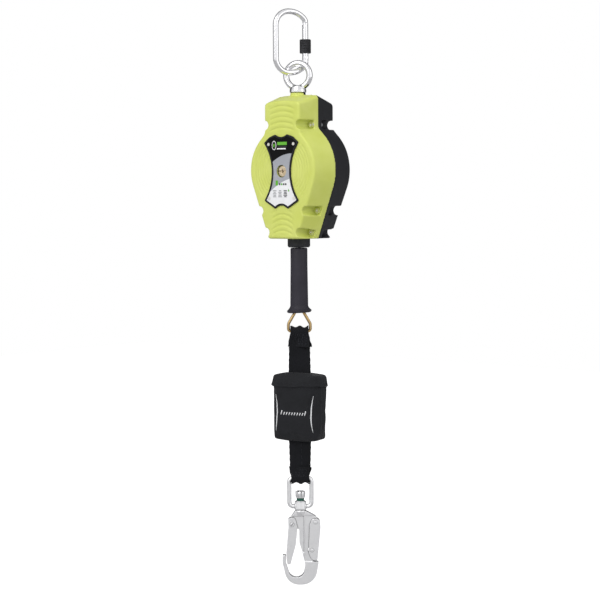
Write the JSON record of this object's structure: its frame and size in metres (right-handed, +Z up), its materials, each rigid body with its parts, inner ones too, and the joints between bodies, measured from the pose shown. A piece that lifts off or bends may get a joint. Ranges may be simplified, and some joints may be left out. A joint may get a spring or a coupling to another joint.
{
  "type": "self retracting lifeline",
  "caption": "Self-retracting wire-rope lifeline with a lime and black housing, swivel eye and carabiner, rubber grip, webbing shock absorber and double-action snap hook.",
  "frame": {"origin": "where the anchor bears on the inside of the carabiner's top bow, on the line that the load hangs on", "axes": "+Z up along the hanging line, -Y to the front of the housing (the lime side with the label), +X to its right"},
  "size_m": [0.162, 0.0876, 0.974],
  "materials": {
    "bright_steel": "bright zinc-plated forged steel",
    "black_sleeve": "black anodised, diamond knurled",
    "spring_steel": "oiled spring steel",
    "machined_steel": "machined steel",
    "screw_steel": "plated screws",
    "dark_washer": "dark washer",
    "lime_shell": "lime moulded plastic, fine texture",
    "black_shell": "black moulded plastic, fine texture",
    "bezel_rubber": "soft black rubber",
    "label_film": "printed film under a clear coat",
    "spindle_brass": "machined tan brass",
    "friction_lining": "pressed friction material",
    "drum_alloy": "cast aluminium",
    "wire_rope": "galvanised stranded wire rope",
    "guide_nylon": "black nylon",
    "ferrule_alloy": "pressed aluminium",
    "grip_rubber": "dark grey rubber",
    "gold_zinc": "yellow zinc-plated steel wire",
    "black_webbing": "black woven polyester",
    "pouch_fabric": "black coated nylon with pale piping",
    "hook_steel": "satin zinc-plated forged steel",
    "indicator_green": "dark green band"
  },
  "bodies": {
    "anchor_carabiner": {"carabiner_body": "bright_steel", "gate_hinge_rivet": "bright_steel"},
    "carabiner_gate": {"carabiner_gate": "bright_steel", "gate_latch_pin": "bright_steel", "gate_spring": "spring_steel", "gate_plunger": "bright_steel"},
    "screw_sleeve": {"lock_sleeve": "black_sleeve"},
    "swivel_eye": {"swivel_eye": "bright_steel", "swivel_nut": "machined_steel"},
    "housing": {"swivel_washer": "dark_washer", "thrust_bearing": "machined_steel", "front_shell": "lime_shell", "rear_shell": "black_shell", "housing_screws": "screw_steel", "housing_nuts": "machined_steel", "label_bezel": "bezel_rubber", "label_plate": "label_film", "label_screws": "screw_steel", "load_frame": "machined_steel", "main_shaft": "machined_steel", "spindle_end": "spindle_brass", "brake_hub": "machined_steel", "brake_linings": "friction_lining", "pressure_plate": "machined_steel", "disc_springs": "spring_steel", "brake_nut": "machined_steel", "cable_lead": "wire_rope", "nozzle_collar": "black_shell", "cable_guide": "guide_nylon", "power_spring": "spring_steel"},
    "cable_drum": {"cable_drum": "drum_alloy", "drum_bushings": "spindle_brass", "cable_winding": "wire_rope", "spring_cover": "machined_steel", "spring_cover_rivets": "machined_steel", "pawl_pins": "machined_steel", "pawl_spring_posts": "machined_steel"},
    "brake_ratchet": {"ratchet_wheel": "machined_steel"},
    "upper_pawl": {"pawl_upper": "machined_steel"},
    "lower_pawl": {"pawl_lower": "machined_steel"},
    "lifeline": {"cable_run": "wire_rope", "cable_ferrule": "ferrule_alloy", "cable_eye": "wire_rope", "thimble": "machined_steel", "grip_sleeve": "grip_rubber"},
    "wire_link": {"absorber_link": "gold_zinc"},
    "absorber": {"upper_webbing": "black_webbing", "lower_webbing": "black_webbing", "absorber_pouch": "pouch_fabric", "absorber_pack": "black_webbing"},
    "hook_ring": {"swivel_frame": "hook_steel"},
    "snap_hook": {"hook_body": "hook_steel", "swivel_cap": "hook_steel", "load_indicator_band": "indicator_green", "hook_pivot_rivets": "hook_steel"},
    "hook_gate": {"hook_gate": "hook_steel"},
    "lock_lever": {"hook_lock_lever": "hook_steel", "lever_rivet": "hook_steel"}
  },
  "joints": [
    {"name": "carabiner_gate_open", "type": "hinge", "parent": "anchor_carabiner", "child": "carabiner_gate", "pos_m": [0.00359, 0.01552, -0.0677], "axis": [0.9135, -0.4067, 0], "range_deg": [0, 22], "stiffness_Nm_per_rad": 0.12, "springref_deg": -20.05},
    {"name": "screw_sleeve_travel", "type": "slide", "parent": "carabiner_gate", "child": "screw_sleeve", "axis": [0, 0, 1], "range_m": [0, 0.03]},
    {"name": "eye_swing", "type": "hinge", "parent": "anchor_carabiner", "child": "swivel_eye", "pos_m": [0, 0, -0.0874], "axis": [0.9397, 0.342, 0], "range_deg": [-8, 18]},
    {"name": "housing_swivel", "type": "hinge", "parent": "swivel_eye", "child": "housing", "pos_m": [0, 0, -0.14], "axis": [0, 0, 1], "continuous": true},
    {"name": "line_payout", "type": "slide", "parent": "housing", "child": "lifeline", "axis": [0, 0, -1], "range_m": [0, 6], "stiffness_N_per_m": 3, "springref_m": -8, "deforming": ["cable_run"]},
    {"name": "drum_spin", "type": "hinge", "parent": "housing", "child": "cable_drum", "pos_m": [0, 0, -0.2585], "axis": [0, 1, 0], "range_deg": [-10, 7373.3]},
    {"name": "brake_slip", "type": "hinge", "parent": "housing", "child": "brake_ratchet", "pos_m": [0, -0.019, -0.2585], "axis": [0, 1, 0], "continuous": true},
    {"name": "upper_pawl_swing", "type": "hinge", "parent": "cable_drum", "child": "upper_pawl", "pos_m": [0.02294, -0.019, -0.22573], "axis": [0, 1, 0], "range_deg": [0, 14], "stiffness_Nm_per_rad": 0.05, "springref_deg": -17.19},
    {"name": "lower_pawl_swing", "type": "hinge", "parent": "cable_drum", "child": "lower_pawl", "pos_m": [-0.02294, -0.019, -0.29127], "axis": [0, 1, 0], "range_deg": [0, 14], "stiffness_Nm_per_rad": 0.05, "springref_deg": -17.19},
    {"name": "link_swing", "type": "hinge", "parent": "lifeline", "child": "wire_link", "pos_m": [0, 0, -0.4737], "axis": [0.766, 0.6428, 0], "range_deg": [-12, 12]},
    {"name": "absorber_swing", "type": "hinge", "parent": "wire_link", "child": "absorber", "pos_m": [0, 0, -0.528], "axis": [0.766, 0.6428, 0], "range_deg": [-25, 25]},
    {"name": "hook_ring_swing", "type": "hinge", "parent": "absorber", "child": "hook_ring", "pos_m": [0, 0, -0.77815], "axis": [0.766, 0.6428, 0], "range_deg": [-30, 30]},
    {"name": "hook_swivel", "type": "hinge", "parent": "hook_ring", "child": "snap_hook", "pos_m": [0, 0, -0.8265], "axis": [0, 0, 1], "continuous": true},
    {"name": "hook_gate_open", "type": "hinge", "parent": "snap_hook", "child": "hook_gate", "pos_m": [-0.01095, -0.00919, -0.8568], "axis": [0.6428, -0.766, 0], "range_deg": [0, 12.5], "stiffness_Nm_per_rad": 0.3, "springref_deg": -20.05},
    {"name": "lock_lever_squeeze", "type": "hinge", "parent": "snap_hook", "child": "lock_lever", "pos_m": [0.01946, 0.01633, -0.8532], "axis": [-0.6428, 0.766, 0], "range_deg": [0, 5], "stiffness_Nm_per_rad": 1, "springref_deg": -8.59}
  ],
  "couplings": [
    {"joint": "drum_spin", "follows": "line_payout", "rad_per_m": 21.413}
  ]
}
